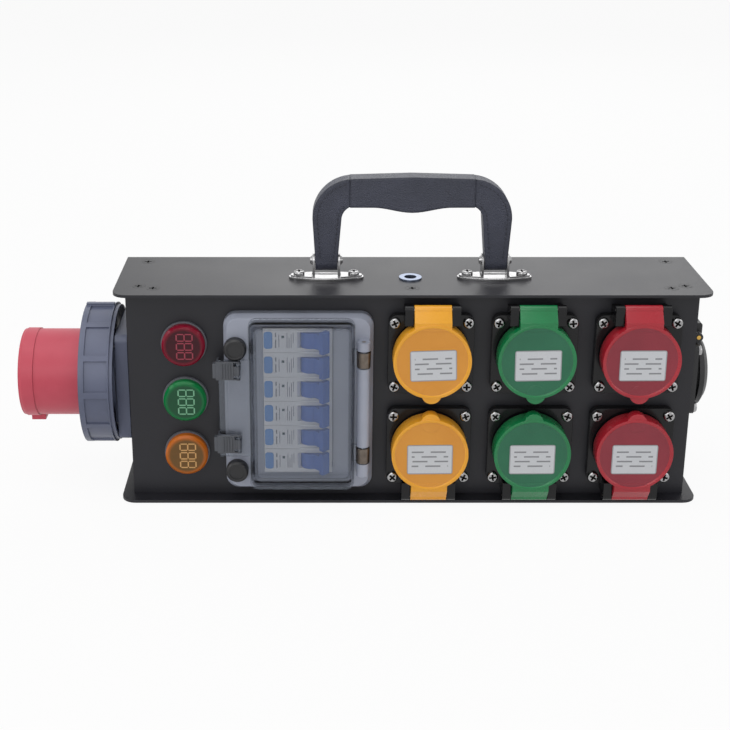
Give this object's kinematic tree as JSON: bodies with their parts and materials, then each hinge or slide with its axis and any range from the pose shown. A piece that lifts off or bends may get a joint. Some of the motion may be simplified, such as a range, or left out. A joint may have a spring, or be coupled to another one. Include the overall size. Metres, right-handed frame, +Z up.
{
  "type": "portable power distribution box",
  "caption": "Portable power distribution box with folding carrying handle, pin supply inlet with lock ring, breakers behind a hinged window, lidded outlets and voltmeters.",
  "frame": {"origin": "centre of the case's underside", "axes": "+X to the outlet end, away from the supply inlet; +Y from the front panel to the back; +Z up"},
  "size_m": [0.4876, 0.1148, 0.2288],
  "materials": {
    "black_powder_coat": "satin powder coat",
    "black_steel": "black oxide",
    "bright_steel": "bright plated",
    "gasket_rubber": "matt",
    "zinc_plate": "zinc plated",
    "chrome_fitting": "polished",
    "strap_steel": "plain",
    "black_leather": "grained",
    "blue_grey_plastic": "satin",
    "red_shroud": "satin",
    "black_plastic": "satin",
    "gloss_black": "gloss",
    "blue_toggle": "satin",
    "contact_brass": "satin",
    "busbar_copper": "tinned copper",
    "pale_grey_plastic": "satin",
    "clear_lid": "clear moulded plastic",
    "smoky_latch": "smoky",
    "white_breaker": "satin",
    "lid_yellow": "satin",
    "lid_green": "satin",
    "lid_red": "satin",
    "meter_grey": "satin",
    "meter_dark": "satin",
    "lens_red": "tinted moulding",
    "lens_green": "tinted moulding",
    "lens_amber": "tinted moulding"
  },
  "bodies": {
    "case": {"outer_shell": "black_powder_coat", "chassis": "black_powder_coat", "shell_screws": "black_steel", "panel_screws": "bright_steel", "panel_gaskets": "gasket_rubber", "rigging_insert": "zinc_plate", "handle_bases": "chrome_fitting", "handle_clevises": "chrome_fitting", "handle_pins": "bright_steel", "inlet_flange": "blue_grey_plastic", "inlet_shroud": "red_shroud", "inlet_pin_carrier": "black_plastic", "inlet_pins": "contact_brass", "side_outlet_body": "black_plastic", "side_outlet_insert": "black_plastic", "side_outlet_hinge_pin": "contact_brass", "window_frame": "pale_grey_plastic", "window_gasket": "gasket_rubber", "window_hinge_pins": "strap_steel", "window_caps": "black_plastic", "din_rail": "zinc_plate", "breaker_cases": "white_breaker", "comb_busbar": "busbar_copper", "terminal_bars": "contact_brass", "terminal_supports": "pale_grey_plastic", "outlet_housing_1": "gloss_black", "outlet_housing_2": "gloss_black", "outlet_housing_3": "gloss_black", "outlet_housing_4": "gloss_black", "outlet_housing_5": "gloss_black", "outlet_housing_6": "gloss_black", "outlet_inserts": "black_plastic", "outlet_contacts": "contact_brass", "outlet_hinge_pins": "strap_steel", "meter_bodies": "meter_grey", "meter_displays": "meter_dark", "meter_lens_red": "lens_red", "meter_lens_green": "lens_green", "meter_lens_amber": "lens_amber", "meter_nuts": "black_plastic"},
    "handle": {"handle_core": "strap_steel", "handle_cover": "black_leather", "handle_grip_sleeve": "black_leather"},
    "lock_ring": {"inlet_lock_ring": "blue_grey_plastic"},
    "side_lid": {"side_outlet_lid": "black_plastic"},
    "window_lid": {"window_lid": "clear_lid"},
    "latch_upper": {"window_latch_upper": "smoky_latch"},
    "latch_lower": {"window_latch_lower": "smoky_latch"},
    "toggle_1": {"breaker_toggle_1": "blue_toggle"},
    "toggle_2": {"breaker_toggle_2": "blue_toggle"},
    "toggle_3": {"breaker_toggle_3": "blue_toggle"},
    "toggle_4": {"breaker_toggle_4": "blue_toggle"},
    "toggle_5": {"breaker_toggle_5": "blue_toggle"},
    "toggle_6": {"breaker_toggle_6": "blue_toggle"},
    "lid_yellow_upper": {"outlet_lid_yellow_upper": "lid_yellow"},
    "lid_green_upper": {"outlet_lid_green_upper": "lid_green"},
    "lid_red_upper": {"outlet_lid_red_upper": "lid_red"},
    "lid_yellow_lower": {"outlet_lid_yellow_lower": "lid_yellow"},
    "lid_green_lower": {"outlet_lid_green_lower": "lid_green"},
    "lid_red_lower": {"outlet_lid_red_lower": "lid_red"}
  },
  "joints": [
    {"name": "handle_fold", "type": "hinge", "parent": "case", "child": "handle", "pos_m": [0, -0.008, 0.1683], "axis": [1, 0, 0], "range_deg": [-88, 88]},
    {"name": "lock_ring_turn", "type": "hinge", "parent": "case", "child": "lock_ring", "pos_m": [-0.2165, 0.005, 0.0802], "axis": [1, 0, 0], "range_deg": [0, 55]},
    {"name": "side_lid_open", "type": "hinge", "parent": "case", "child": "side_lid", "pos_m": [0.2035, 0.005, 0.1128], "axis": [0, -1, 0], "range_deg": [0, 75], "stiffness_Nm_per_rad": 0.05, "springref_deg": -28.65},
    {"name": "window_lid_open", "type": "hinge", "parent": "case", "child": "window_lid", "pos_m": [-0.0332, -0.0492, 0.0753], "axis": [0, 0, 1], "range_deg": [0, 90]},
    {"name": "latch_upper_open", "type": "hinge", "parent": "window_lid", "child": "latch_upper", "pos_m": [-0.1188, -0.05, 0.1025], "axis": [0, 0, 1], "range_deg": [0, 100]},
    {"name": "latch_lower_open", "type": "hinge", "parent": "window_lid", "child": "latch_lower", "pos_m": [-0.1188, -0.05, 0.048], "axis": [0, 0, 1], "range_deg": [0, 100]},
    {"name": "toggle_1_throw", "type": "hinge", "parent": "case", "child": "toggle_1", "pos_m": [-0.0693, -0.0375, 0.0316], "axis": [0, 0, 1], "range_deg": [-85, 0]},
    {"name": "toggle_2_throw", "type": "hinge", "parent": "case", "child": "toggle_2", "pos_m": [-0.0693, -0.0375, 0.0496], "axis": [0, 0, 1], "range_deg": [-85, 0]},
    {"name": "toggle_3_throw", "type": "hinge", "parent": "case", "child": "toggle_3", "pos_m": [-0.0693, -0.0375, 0.0676], "axis": [0, 0, 1], "range_deg": [-85, 0]},
    {"name": "toggle_4_throw", "type": "hinge", "parent": "case", "child": "toggle_4", "pos_m": [-0.0693, -0.0375, 0.0856], "axis": [0, 0, 1], "range_deg": [-85, 0]},
    {"name": "toggle_5_throw", "type": "hinge", "parent": "case", "child": "toggle_5", "pos_m": [-0.0693, -0.0375, 0.1036], "axis": [0, 0, 1], "range_deg": [-85, 0]},
    {"name": "toggle_6_throw", "type": "hinge", "parent": "case", "child": "toggle_6", "pos_m": [-0.0693, -0.0375, 0.1216], "axis": [0, 0, 1], "range_deg": [-85, 0]},
    {"name": "lid_yellow_upper_open", "type": "hinge", "parent": "case", "child": "lid_yellow_upper", "pos_m": [0.013, -0.0475, 0.14555], "axis": [-1, 0, 0], "range_deg": [0, 100], "stiffness_Nm_per_rad": 0.05, "springref_deg": -28.65},
    {"name": "lid_green_upper_open", "type": "hinge", "parent": "case", "child": "lid_green_upper", "pos_m": [0.0837, -0.0475, 0.14555], "axis": [-1, 0, 0], "range_deg": [0, 100], "stiffness_Nm_per_rad": 0.05, "springref_deg": -28.65},
    {"name": "lid_red_upper_open", "type": "hinge", "parent": "case", "child": "lid_red_upper", "pos_m": [0.1544, -0.0475, 0.14555], "axis": [-1, 0, 0], "range_deg": [0, 100], "stiffness_Nm_per_rad": 0.05, "springref_deg": -28.65},
    {"name": "lid_yellow_lower_open", "type": "hinge", "parent": "case", "child": "lid_yellow_lower", "pos_m": [0.013, -0.0475, 0.00725], "axis": [1, 0, 0], "range_deg": [0, 78], "stiffness_Nm_per_rad": 0.05, "springref_deg": -28.65},
    {"name": "lid_green_lower_open", "type": "hinge", "parent": "case", "child": "lid_green_lower", "pos_m": [0.0837, -0.0475, 0.00725], "axis": [1, 0, 0], "range_deg": [0, 78], "stiffness_Nm_per_rad": 0.05, "springref_deg": -28.65},
    {"name": "lid_red_lower_open", "type": "hinge", "parent": "case", "child": "lid_red_lower", "pos_m": [0.1544, -0.0475, 0.00725], "axis": [1, 0, 0], "range_deg": [0, 78], "stiffness_Nm_per_rad": 0.05, "springref_deg": -28.65}
  ]
}
